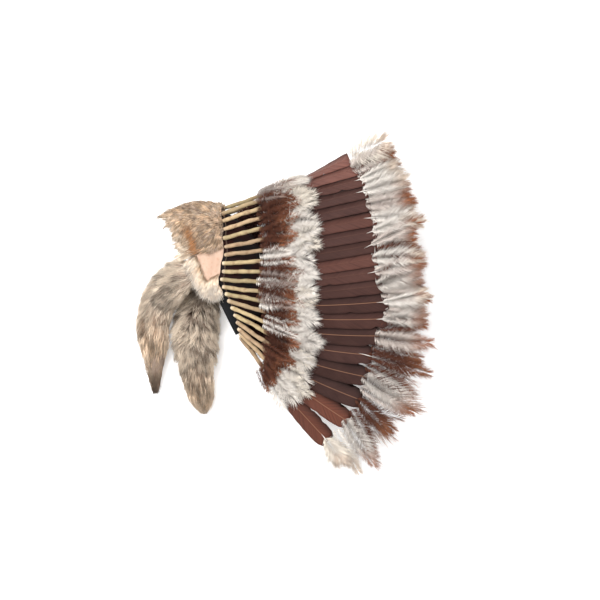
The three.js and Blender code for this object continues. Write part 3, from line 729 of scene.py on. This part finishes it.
def shaded_inner_down(low, high, count, barbs):
    """Dark maroon feathers inside the ring, tied to the far side's wraps, which show between the near side's;
    they are made near-black as painted shade, the shadow in the gaps under the near side.
    """
    feet, aims, outs = [], [], []
    for k in np.linspace(low, high, count) + random.normal(0, 0.1, count):
        foot, along, _ = feather_line(FAR, float(np.clip(k, 0.5, NAPE)))
        inward = -ring_frame(FAR, float(k), 0.0)[2]
        feet.append(foot + along * WRAP_LENGTH * random.uniform(0.75, 1.15) + inward * 0.008)
        aims.append(inward * 0.12 - along)
        outs.append(inward)
    # Painted shade: near-black, darker than the brown down, for the shadow in the gaps.
    main = np.tile(DOWN_DARK * (1.2, 0.8, 0.8), (count, 1)) * random.uniform(0.6, 1.3, (count, 1))
    lengths, widths = random.uniform(0.05, 0.066, count), random.uniform(0.034, 0.044, count)
    none = np.zeros(count)
    return soft_feathers(
        np.array(feet), np.array(aims), np.array(outs), lengths, widths, none, (main, main, main, none),
        barbs, INNER_BARB_RADIUS,
    )


new_piece("shaded_inner_down", shaded_inner_down(0.5, 17.0, count=52, barbs=100), base_down)

# The plumes on the tips are body feathers too, the biggest of all: most grey-white with rusty ends, some
# dark brown all over, and cream down at the brow and the nape. They are wider than the vane that carries
# them, so they lie over one another, and a white quill shows at the foot of some.
CREAM, WHITE, GREY, SPOTTED, BROWN = range(5)
TIP_KINDS = (CREAM, SPOTTED, WHITE, WHITE, SPOTTED, WHITE, WHITE, SPOTTED, WHITE, SPOTTED, GREY, WHITE, GREY,
             SPOTTED, BROWN, GREY, BROWN, GREY, CREAM)
BESIDE_KINDS = (SPOTTED, BROWN, WHITE, GREY, SPOTTED, WHITE, SPOTTED, BROWN, WHITE, BROWN, SPOTTED, SPOTTED,
                BROWN, BROWN, BROWN, SPOTTED, BROWN, WHITE)
TIP_COLOURS = {
    CREAM: (mix(DOWN_CREAM, DOWN_WHITE, 0.4), mix(DOWN_CREAM, DOWN_RUST, 0.3), DOWN_GREY, 0.2),
    WHITE: (DOWN_WHITE, mix(DOWN_CREAM, DOWN_RUST, 0.25), DOWN_GREY * 0.5, 0.45),
    GREY: (mix(DOWN_WHITE, DOWN_GREY, 0.3), mix(DOWN_WHITE, DOWN_RUST, 0.8), DOWN_GREY * 0.3, 0.8),
    SPOTTED: (mix(DOWN_WHITE, DOWN_RUST, 0.15), DOWN_RUST, DOWN_BROWN, 0.8),
    BROWN: (DOWN_BROWN * 1.2, DOWN_RUST * 0.85, DOWN_DARK, 0.8),
}
# At places round the ring, a plume's turn to the nape in degrees and its length against the table's.
TIP_SPOTS = (0, 1.5, 8, 12, 13, 14, 15, 16, 17, 18)
TIP_TURNS = (12, 0, 0, -5, 16, 16, 20, 26, 22, 4)
TIP_STRETCH = (1.05, 1.08, 1.08, 1.1, 1.12, 1.15, 1.2, 1.2, 1.15, 1.08)
TIP_LENGTH = 0.1
TIP_WIDTH = 0.062
TIP_WIDER = {0: 1.4, 15: 1.35, 18: 1.4}
TIP_SKEW = {15: 0.35, 17: 0.35}  # longer barbs on the nape's side
SHAFT_SHOWS_AT = 0.62  # how pointed a plume is when its shaft shows


def tip_plumes(name, side, first, last, barbs):
    """A big plume on each tip, a smaller one under it and one more between it and the next."""
    rows = []
    for k in range(first, last + 1):
        length = feather_row(k)[5] * TIP_LENGTH * np.interp(k, TIP_SPOTS, TIP_STRETCH)
        turn = np.interp(k, TIP_SPOTS, TIP_TURNS)
        foot = 0.965 if k else 1.01
        wide = TIP_WIDTH * TIP_WIDER.get(k, random.uniform(0.85, 1.12))
        sharp = random.uniform(0.3, 0.85) if k > 0 else 0.25
        lean = TIP_SKEW[k] if k in TIP_SKEW else random.uniform(-0.2, 0.2)
        kind = TIP_KINDS[k]
        size = length * random.uniform(0.86, 1.1)
        rows.append((k, foot, turn + 6 * random.normal(), 0.002, size, wide, sharp, lean, kind))
        rows.append((k, foot, turn + 9 * random.normal(), -0.003, length * 0.88, 0.05, 0.4, 0.0, kind))
        if k < last:
            turn += 8 * random.normal()
            rows.append((k + 0.5, 0.97, turn, 0.0, length * 0.93, 0.046, 0.5, 0.0, BESIDE_KINDS[k]))
    columns = (np.array(column) for column in zip(*rows))
    spots, shares, turns, lifts, lengths, widths, pointed, skew, kinds = columns
    feet, aims, outs = lying(side, spots, shares, turns, lifts)
    outs = unit(outs + np.array([0, 0, 0.9 * side]) + random.normal(0, 0.13, outs.shape))
    aims = aims - np.array([0, 0, 0.18])
    colours = [TIP_COLOURS[kind] for kind in kinds.astype(int)]
    main, end, root, shown = (np.array([colour[i] for colour in colours]) for i in range(4))
    shown_shaft = pointed > SHAFT_SHOWS_AT
    parts = [
        soft_feathers(feet, aims, outs, lengths, widths, pointed, (main, end, root, shown), barbs, skew=skew),
        shafts(*(column[shown_shaft] for column in (feet, aims, outs, lengths)), DOWN_WHITE),
    ]
    return new_piece(f"tip_down_{name}", joined(parts), tip_down)


tip_down = down_finish("tip_down")
tip_plumes("near", NEAR, 0, NAPE, barbs=440)
tip_plumes("far", FAR, 1, NAPE - 1, barbs=180)

# The brow band is a strip of pelt with the fur on, glued over the rim of the cap from one temple to the
# other. At each temple the strip ends in bare pink hide. The fur lies from the crown to the rim in soft
# locks, tan with dark tips, and it is cream where it hangs over the rim.
BAND_END = 72.0
PATCH_END = 102.0
BAND_MARGIN = 3.0
PELT_OVERHANG = 0.014
HIDE_OVERHANG = 0.010
HIDE_THICKNESS = 0.002
PELT_SKIN = 0.0035  # from the cap to where the fur is rooted
BROW_HAIRS, BROW_LOCKS = 20000, 800
FRINGE_HAIRS, FRINGE_LOCKS = 2600, 160
HAIR_RADIUS = 0.0005
BATCH = 4000  # hairs that are measured against the leaders at a time
FUR_TAN = np.array((0.64, 0.435, 0.27))
FUR_GREY = np.array((0.455, 0.335, 0.262))
FUR_DARK = np.array((0.075, 0.047, 0.033))
FUR_CREAM = np.array((0.95, 0.82, 0.665))
FUR_GINGER = np.array((0.5, 0.21, 0.065))
HIDE_PINK = (0.47, 0.31, 0.225)


def on_strip(round_by, height, out, overhang):
    """A place on a strip laid on the cap: height 0 is past the rim, and 1 is just short of the wraps."""
    rise = height * np.maximum(wrap_feet_rise(round_by) - BAND_MARGIN, 1)
    points, normal = on_cap(round_by, rise, out)
    points[..., 0] -= overhang * (1 - height) ** 2
    return points, normal


def strip_piece(name, low, high, rows, columns, depth, overhang, material, tint):
    """A strip on the cap as a closed sheet, its outer side depth(along, height) from its seat."""
    along, height = np.meshgrid(np.linspace(0, 1, rows), np.linspace(0, 1.12, columns), indexing="ij")
    round_by = mix(low, high, along)
    seat = SEAT_GAP + 0.0003
    outer, _ = on_strip(round_by, height, seat + depth(along, height), overhang)
    inner, _ = on_strip(round_by, height, seat, overhang)
    points = np.concatenate([outer.reshape(-1, 3), inner.reshape(-1, 3)])
    faces = sheet_faces(rows, columns)
    if high > low:
        faces = faces[:, ::-1]
    return new_piece(name, (floored(points), faces, np.tile(tint, (len(points), 1))), material)


def combed(places, roots, aims, lengths, gather, count, traits):
    """Root, middle and tip of each hair, and traits random numbers for it that its lock shares.

    The hairs join count locks, each that of the nearest leader by places, and their tips draw together.
    """
    leaders = random.choice(len(roots), count, replace=False)
    lock = np.empty(len(roots), int)
    for start in range(0, len(roots), BATCH):
        gap = places[start:start + BATCH, None] - places[None, leaders]
        lock[start:start + BATCH] = (gap**2).sum(-1).argmin(1)
    tips = roots + aims * lengths[:, None]
    lead = roots + (aims * lengths[:, None])[leaders][lock]
    tips = mix(tips, mix(lead, tips[leaders][lock], 0.75), np.asarray(gather)[..., None])
    middle = mix(roots, tips, 0.45) + (aims * 0.1 + random.normal(0, 0.05, aims.shape)) * lengths[:, None]
    return floored(np.stack([roots, middle, tips], 1)), random.random((count, traits))[lock]


def hair(paths, radius, tints):
    """Strands through root, middle and tip, with a tint for each of the three."""
    points, faces = spindles(paths, radius * random.uniform(0.7, 1.3, (len(paths), 1)))
    return points, faces, spread_tint(np.stack(tints, 1))


def fur_finish(name):
    """The hairs' own tint, a little browner in patches."""
    fur = Finish(name, roughness=0.8, specular_tint=(0.5, 0.5, 0.5, 1.0))
    shade = fur.noise(150.0, 3.0).between(0.4, 0.75)
    return fur.done(fur.mix(shade * 0.18, fur.tint(), (0.2, 0.14, 0.09)))


def strip_directions(round_by, height, out, overhang):
    """Roots on a strip, and the directions there to the rim, away from the brow and out."""
    roots, normal = on_strip(round_by, height, out, overhang)
    beside, _ = on_strip(round_by + 1.0, height, out, overhang)
    above, _ = on_strip(round_by, height + 0.02, out, overhang)
    return roots, unit(roots - above), unit(beside - roots) * np.sign(round_by)[:, None], normal


def brow_fur():
    """Fur of the strip, which lies to the rim, with a ginger streak and cream ends past the rim."""
    count = BROW_HAIRS
    round_by = random.uniform(-BAND_END, BAND_END, count)
    height = 1.12 * random.random(count) ** 0.9
    roots, rimward, onward, normal = strip_directions(round_by, height, PELT_SKIN, PELT_OVERHANG)
    aside = np.abs(round_by)
    sweep = mix(-0.35, 0.5, smooth_step(8, 50, aside)) * smooth_step(BAND_END + 12, BAND_END - 12, aside)
    swirl = 0.45 * np.sin(75 * roots[:, 0] + 60 * roots[:, 1] + 1.3) + random.normal(0, 0.2, count)
    lift = random.uniform(0.04, 0.24, count)
    flow = mix(1.0, 0.1, smooth_step(0.8, 1.05, height))
    aims = unit(rimward * flow[:, None] + onward * (sweep + swirl)[:, None] + normal * lift[:, None])
    guard = random.random(count) < 0.2
    lengths = random.uniform(0.014, 0.023, count) * mix(1.0, 0.55, smooth_step(0.8, 1.05, height))
    lengths *= np.where(guard, 1.5, 1.0) * mix(1.35, 1.0, smooth_step(0.0, 0.25, height))
    gather = 0.4 + 0.4 * smooth_step(0.3, 0.0, height)
    paths, locks = combed(roots, roots, aims, lengths, gather, BROW_LOCKS, 2)
    near_rim = smooth_step(0.006, -0.01, roots[:, 0] - RIM[0])
    low_half = smooth_step(0.09, 0.05, roots[:, 1] - RIM[1])
    cream = np.maximum(near_rim * low_half, 0.35 * near_rim)[:, None]
    past_rim = (roots[:, 0] - RIM[0] - 0.008) / 0.006
    streak = np.exp(-(past_rim**2)) * smooth_step(0.105, 0.08, roots[:, 1] - RIM[1])
    middle = mix(FUR_TAN, FUR_GREY * 0.8, locks[:, :1]) * mix(0.4, 1.4, locks[:, 1:])
    middle = mix(mix(middle, FUR_GINGER, (streak * 0.95)[:, None]), FUR_CREAM, cream * 0.9)
    tip = mix(mix(FUR_TAN, FUR_CREAM * 1.05, random.random((count, 1))), FUR_GINGER, (streak * 0.6)[:, None])
    dark = np.maximum(locks[:, 0] < 0.25, guard)[:, None] * random.uniform(0.4, 1.0, (count, 1))
    dark = dark * (1 - 0.8 * cream)
    root = mix(FUR_GREY * 0.6, FUR_CREAM, cream)
    return hair(paths, HAIR_RADIUS, (root, middle, mix(tip, FUR_DARK, dark)))


def temple_fringe(name, side):
    """Cream fur left on the hide's edge towards the nape and past the rim, over the root of the tail."""
    count = FRINGE_HAIRS
    nape_edge_shade = random.random(count) < 0.6
    by_nape = random.uniform(PATCH_END - 8, PATCH_END + 2, count)
    round_by = np.where(nape_edge_shade, by_nape, random.uniform(BAND_END, PATCH_END, count))
    height = np.where(nape_edge_shade, random.uniform(0, 1, count), random.uniform(-0.1, 0.12, count))
    roots, rimward, onward, normal = strip_directions(side * round_by, height, HIDE_THICKNESS, HIDE_OVERHANG)
    down = np.where(nape_edge_shade, random.uniform(0.6, 1.2, count), random.uniform(0.3, 0.9, count))
    out = np.where(nape_edge_shade, random.uniform(-0.2, 0.7, count), random.uniform(0.5, 1.1, count))
    lift = random.uniform(0.05, 0.5, count)
    aims = unit(onward * down[:, None] + rimward * out[:, None] + normal * lift[:, None])
    paths, locks = combed(roots, roots, aims, random.uniform(0.016, 0.034, count), 0.3, FRINGE_LOCKS, 1)
    middle = mix(FUR_CREAM * 1.05, FUR_TAN * 1.3, smooth_step(0.6, 1, locks) * 0.7)
    tints = (np.tile(FUR_TAN * 1.2, (count, 1)), middle, np.tile(FUR_CREAM * (1.05, 1.12, 1.25), (count, 1)))
    return new_piece(f"temple_fringe_{name}", hair(paths, HAIR_RADIUS, tints), brow_pelt)


def hide_finish():
    """Pink hide with paler patches and redder veins."""
    hide = Finish("bare_hide", roughness=0.7)
    mottle = hide.noise(60.0, 4.0).between(0.35, 0.7)
    veins = hide.noise(180.0, 5.0)
    colour = hide.mix(mottle * 0.6, hide.tint(), (0.56, 0.41, 0.31))
    colour = hide.mix(veins.between(0.54, 0.72) * 0.6, colour, (0.42, 0.22, 0.14))
    return hide.done(colour, bump=veins, depth=0.0012, strength=0.8)


brow_pelt = fur_finish("brow_pelt")
bare_hide = hide_finish()


def pelt_depth(along, height):
    """Three quarters of PELT_SKIN and a half sine of the rest over the height, with low waves along it."""
    return PELT_SKIN * (0.75 + 0.25 * np.sin(np.pi * mix(0.1, 0.9, height))) + 0.0004 * np.sin(40 * along)


band_skin = strip_piece(
    "brow_band_skin", -BAND_END, BAND_END, rows=90, columns=16, depth=pelt_depth, overhang=PELT_OVERHANG,
    material=brow_pelt, tint=FUR_GREY * 0.6,
)
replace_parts(band_skin, "brow_band")
new_piece("brow_band_fur", brow_fur(), brow_pelt)


def hide_depth(along, height):
    """The hide's thickness, with low waves: a product of two sines."""
    return HIDE_THICKNESS - 0.0004 + 0.0004 * np.sin(9 * along + 3 * height) * np.sin(11 * height)


for name, side in (("near", NEAR), ("far", FAR)):
    patch = strip_piece(
        f"temple_hide_{name}", side * (BAND_END + 0.5), side * PATCH_END, rows=40, columns=28,
        depth=hide_depth, overhang=HIDE_OVERHANG, material=bare_hide, tint=np.array(HIDE_PINK),
    )
    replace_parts(patch, f"temple_patch_{name}")
    temple_fringe(name, side)

# A fur tail hangs from the hide at each temple. It is a whole tail, skinned and cased: a core of skin with
# long coarse hair that lies to the tip, grey-tan with dark and cream streaks, and darker at the very end.
TAIL_LENGTH = 0.235
TAIL_WIDTH = 0.076
TAIL_HEIGHT = 0.060
NEAR_TAIL_ROOT = 87.0
FAR_TAIL_ROOT = 95.0
TAIL_LOCKS = 520
TAIL_HAIR_RADIUS = 0.00052
CORE_SHARE, HAIR_ROOT_SHARE = 0.62, 0.58  # of the tail's full width and height
# Each row: out and back from the root in tail lengths, height as a share of the near root's, width, height.
NEAR_TAIL = np.array([
    (0.0, 0.0, 1.0, 0.26, 0.14),
    (0.09, -0.02, 0.91, 0.56, 0.5),
    (0.2, -0.01, 0.75, 0.84, 0.84),
    (0.33, 0.03, 0.5, 0.94, 1.0),
    (0.46, 0.14, 0.32, 0.96, 0.98),
    (0.55, 0.29, 0.26, 0.94, 0.86),
    (0.64, 0.48, 0.2, 0.7, 0.66),
    (0.72, 0.66, 0.08, 0.12, 0.14),
])
FAR_TAIL = np.array([
    (0.0, 0.0, 0.075, 0.26, 0.14),
    (0.1, 0.1, 0.13, 0.56, 0.42),
    (0.21, 0.25, 0.2, 0.8, 0.68),
    (0.28, 0.38, 0.24, 0.88, 0.84),
    (0.35, 0.54, 0.24, 0.9, 0.82),
    (0.4, 0.7, 0.21, 0.78, 0.7),
    (0.43, 0.81, 0.15, 0.52, 0.5),
    (0.45, 0.87, 0.08, 0.12, 0.14),
])


def tail_root(round_by):
    """Where a tail starts: at the rim, just past the edge of the hide that hangs over it."""
    root = on_cap(round_by, 0.0, SEAT_GAP + HIDE_THICKNESS / 2)[0]
    return root - np.array([HIDE_OVERHANG + SEAT_GAP, 0, 0])


def through(rows, t):
    """Values of the rows at t, counted in rows, on a smooth curve through them (Catmull-Rom)."""
    padded = np.concatenate([2 * rows[:1] - rows[1:2], rows, 2 * rows[-1:] - rows[-2:-1]])
    i = np.minimum(np.floor(t).astype(int), len(rows) - 2)
    f = (t - i)[..., None]
    a, b, c, d = (padded[i + n] for n in range(4))
    return 0.5 * (2 * b + (c - a) * f + (2 * a - 5 * b + 4 * c - d) * f**2 + (3 * b - a - 3 * c + d) * f**3)


def tail_section(table, round_by, t, angle, share):
    """Points round the tail at t along its rows: an oval across its line, share of its full size."""
    root = tail_root(round_by)
    top = tail_root(NEAR_TAIL_ROOT)[2]
    out, back, up, wide, high = table.T
    centres = np.stack([root[0] - TAIL_LENGTH * out, root[1] - TAIL_LENGTH * back, top * up], -1)
    centres[0, 2] = root[2]
    middle = through(centres, t)
    tangent = unit(through(centres, t + 0.02) - through(centres, t - 0.02))
    across = unit(np.stack([-tangent[..., 1], tangent[..., 0], 0 * tangent[..., 0]], -1))
    over = np.cross(tangent, across)
    wide = TAIL_WIDTH / 2 * np.interp(t, np.arange(len(table)), wide) * share
    high = TAIL_HEIGHT / 2 * np.interp(t, np.arange(len(table)), high) * share
    oval = across * (wide * np.cos(angle))[..., None] + over * (high * np.sin(angle))[..., None]
    return middle + oval, tangent, unit(oval)


def tail_core(name, table, round_by):
    """The skin of a tail: a closed tube through its ovals, drawn in to CORE_SHARE."""
    rows, columns = 36, 24
    last = len(table) - 1
    t, angle = np.meshgrid(
        np.linspace(0.02, last - 0.3, rows), np.linspace(0, 2 * np.pi, columns, endpoint=False), indexing="ij"
    )
    skin = floored(tail_section(table, round_by, t, angle, CORE_SHARE)[0])
    points, faces = closed_tube(skin, [skin[0].mean(0), skin[-1].mean(0)])
    tint = np.tile(FUR_GREY * 0.5, (len(points), 1))
    core = new_piece(f"tail_core_{name}", (points, faces, tint), tail_hair)
    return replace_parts(core, f"fur_tail_{name}")


def tail_fur(name, table, round_by, count, crosswise, dusky, end_dark):
    """Hair of a tail. crosswise is how much it waves across the tail in the upper half.

    dusky is the share of dark-tipped locks, and end_dark how dark the tail's tip is.
    """
    last = len(table) - 1
    t = last * mix(0.95, 0.9, crosswise) * random.random(count) ** 0.85
    upper = random.uniform(-0.5, np.pi + 0.5, count)
    angle = np.where(random.random(count) < 0.25, random.uniform(0, 2 * np.pi, count), upper)
    roots, tangent, out = tail_section(table, round_by, t, angle, HAIR_ROOT_SHARE)
    way = t / last
    waves = crosswise * smooth_step(0.62, 0.35, way) * np.sin(42 * way + 1.5 * np.cos(angle))
    waves += 0.12 * np.sin(19 * way + 4 * np.cos(angle)) + random.normal(0, 0.1, count)
    open_out = mix(0.55, 0.12, smooth_step(0.1, 0.6, way)) - 0.52 * smooth_step(0.58, 0.86, way)
    open_out += random.normal(0, 0.06, count) + 0.5 * crosswise * smooth_step(0.55, 0.3, way)
    aims = unit(tangent + out * open_out[:, None] + np.cross(tangent, out) * waves[:, None])
    steps = TAIL_LENGTH * np.hypot(*np.diff(table[:, :2], axis=0).T)
    to_end = np.interp(t, np.arange(len(table)), np.append(np.cumsum(steps[::-1])[::-1], 0))
    lengths = np.minimum(0.046, 0.75 * to_end + 0.013) * random.uniform(0.7, 1.1, count)
    places = np.stack([0.5 * (roots * tangent).sum(-1), 0.02 * angle, 0.04 * way], -1)
    paths, locks = combed(places, roots, aims, lengths, 0.45, TAIL_LOCKS, 3)
    edge = smooth_step(0.6, 1.0, np.abs(np.cos(angle)))[:, None]
    end = smooth_step(0.72, 0.88, way)[:, None] * end_dark
    low = smooth_step(0.35, 0.8, way)[:, None]
    streaks = 0.5 + 0.5 * np.sin(9 * angle + 3 * np.sin(6 * way + 1) + 2 * locks[:, 0])[:, None]
    pale = smooth_step(0.2, 0.8, 0.5 * streaks + 0.5 * locks[:, :1]) * (1 - 0.25 * crosswise * (1 - low))
    middle = mix(FUR_GREY * 0.85, FUR_CREAM, pale)
    middle = mix(mix(middle, FUR_TAN * 1.25, low * 0.65), FUR_CREAM, edge * 0.5)
    middle = middle * mix(0.7, 1.2, locks[:, 1:2])
    tip = mix(FUR_CREAM, FUR_TAN * 1.35, random.random((count, 1)) * (0.2 + 0.8 * low))
    dusk = dusky * (1 - 0.7 * edge) * mix(1.5, 0.5, streaks) * (1 - 0.5 * low)
    dark = (locks[:, 2:] < dusk) * random.uniform(0.4, 1.0, (count, 1))
    tints = (
        mix(FUR_GREY * 0.5, FUR_TAN, edge * 0.5),
        mix(middle, FUR_DARK * 1.5, np.maximum(end, 0.6 * dark)),
        mix(tip, FUR_DARK, np.maximum(dark, end)),
    )
    fur = new_piece(f"tail_hair_{name}", hair(paths, TAIL_HAIR_RADIUS, tints), tail_hair)
    return fur


tail_hair = fur_finish("tail_hair")
tail_core("near", NEAR_TAIL, NEAR_TAIL_ROOT)
tail_fur("near", NEAR_TAIL, NEAR_TAIL_ROOT, count=18000, crosswise=0.0, dusky=0.3, end_dark=0.9)
tail_core("far", FAR_TAIL, -FAR_TAIL_ROOT)
tail_fur("far", FAR_TAIL, -FAR_TAIL_ROOT, count=17000, crosswise=0.9, dusky=0.5, end_dark=0.35)

# Where it lies: a white surface, big soft lights, and a camera straight above that is turned so that the
# crown points to the right and a little up.
PIXEL = 0.00175  # metres to a pixel of the 600 pixel frame
FRAME_PIXELS = 600
CAMERA_TURN = -25.33
CAMERA_HEIGHT = 3.2
OBJECT_HEIGHT = 0.08  # where a pixel has that size
VIEW_MIDDLE = (0.1234, -0.1116)  # from the middle of the rim
FLOOR_HALF = 6.0

floor_mesh = bpy.data.meshes.new("surface")
corners = [(x * FLOOR_HALF, y * FLOOR_HALF, 0.0) for x, y in ((-1, -1), (1, -1), (1, 1), (-1, 1))]
floor_mesh.from_pydata(corners, [], [(0, 1, 2, 3)])
floor = bpy.data.objects.new("surface", floor_mesh)
bpy.context.collection.objects.link(floor)
surface = Finish("white_surface", roughness=0.9, emission_color=(1, 1, 1, 1), emission_strength=0.3)
surface.shader.inputs["Base Color"].default_value = (0.93, 0.93, 0.93, 1)
floor_mesh.materials.append(surface.material)

world = bpy.data.worlds.new("daylight")
world.use_nodes = True
world.node_tree.nodes["Background"].inputs["Color"].default_value = (1, 1, 1, 1)
world.node_tree.nodes["Background"].inputs["Strength"].default_value = 0.85
bpy.context.scene.world = world
bpy.context.scene.view_settings.view_transform = "Standard"


def soft_light(name, place, size, power):
    """A square lamp at place, turned to the origin."""
    light = bpy.data.lights.new(name, "AREA")
    light.size = size
    light.energy = power
    lamp = bpy.data.objects.new(name, light)
    lamp.location = place
    x, y, z = place
    lamp.rotation_euler = (math.atan2(math.hypot(x, y), z), 0, math.atan2(-x, y) + math.pi)
    bpy.context.collection.objects.link(lamp)


soft_light("key_light", (-0.5, 1.2, 2.4), size=1.6, power=85.0)
soft_light("fill_light", (1.6, -1.2, 2.0), size=2.0, power=18.0)

camera = bpy.data.cameras.new("camera")
camera.sensor_width = 36.0
camera.lens = camera.sensor_width * (CAMERA_HEIGHT - OBJECT_HEIGHT) / (PIXEL * FRAME_PIXELS)
eye = bpy.data.objects.new("camera", camera)
eye.location = (RIM[0] + VIEW_MIDDLE[0], RIM[1] + VIEW_MIDDLE[1], CAMERA_HEIGHT)
eye.rotation_euler = (0, 0, math.radians(CAMERA_TURN))
bpy.context.collection.objects.link(eye)
bpy.context.scene.camera = eye
